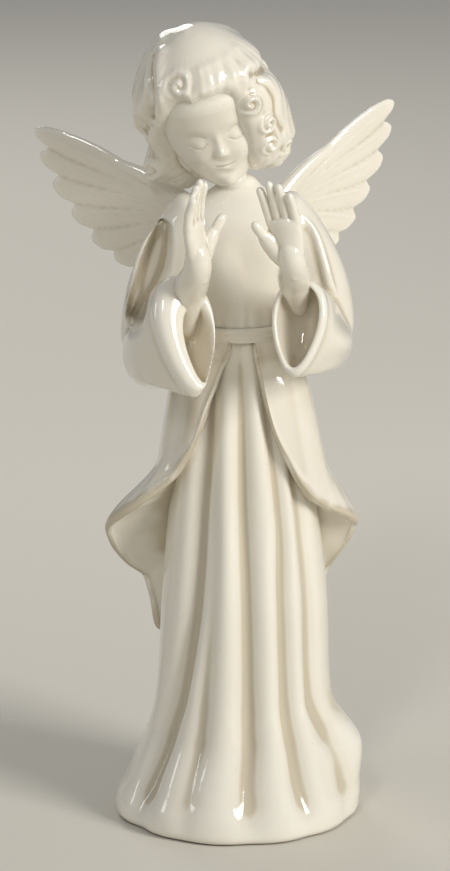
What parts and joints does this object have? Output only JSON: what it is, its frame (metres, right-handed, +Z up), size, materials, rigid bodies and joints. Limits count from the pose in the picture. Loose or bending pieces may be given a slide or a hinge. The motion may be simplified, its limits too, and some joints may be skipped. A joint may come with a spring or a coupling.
{
  "type": "angel figurine",
  "caption": "Standing angel figurine in glazed porcelain, with raised open hands, bell sleeves, a flaring overgown and feathered wings.",
  "frame": {"origin": "centre of the bounding box on the surface that the figure stands on", "axes": "+Z up; the figure faces -Y, its own left hand is towards +X"},
  "size_m": [0.0962, 0.0734, 0.2099],
  "materials": {
    "gown_glaze": "gloss",
    "skin_glaze": "gloss",
    "hair_glaze": "gloss",
    "wing_glaze": "gloss"
  },
  "bodies": {
    "root": {"skirt": "gown_glaze", "overgown": "gown_glaze", "bodice": "gown_glaze", "belt": "gown_glaze", "sleeve_right": "gown_glaze", "sleeve_left": "gown_glaze", "hand_right": "skin_glaze", "hand_left": "skin_glaze", "head": "skin_glaze", "hair": "hair_glaze", "wing_right": "wing_glaze", "wing_left": "wing_glaze"}
  },
  "joints": []
}
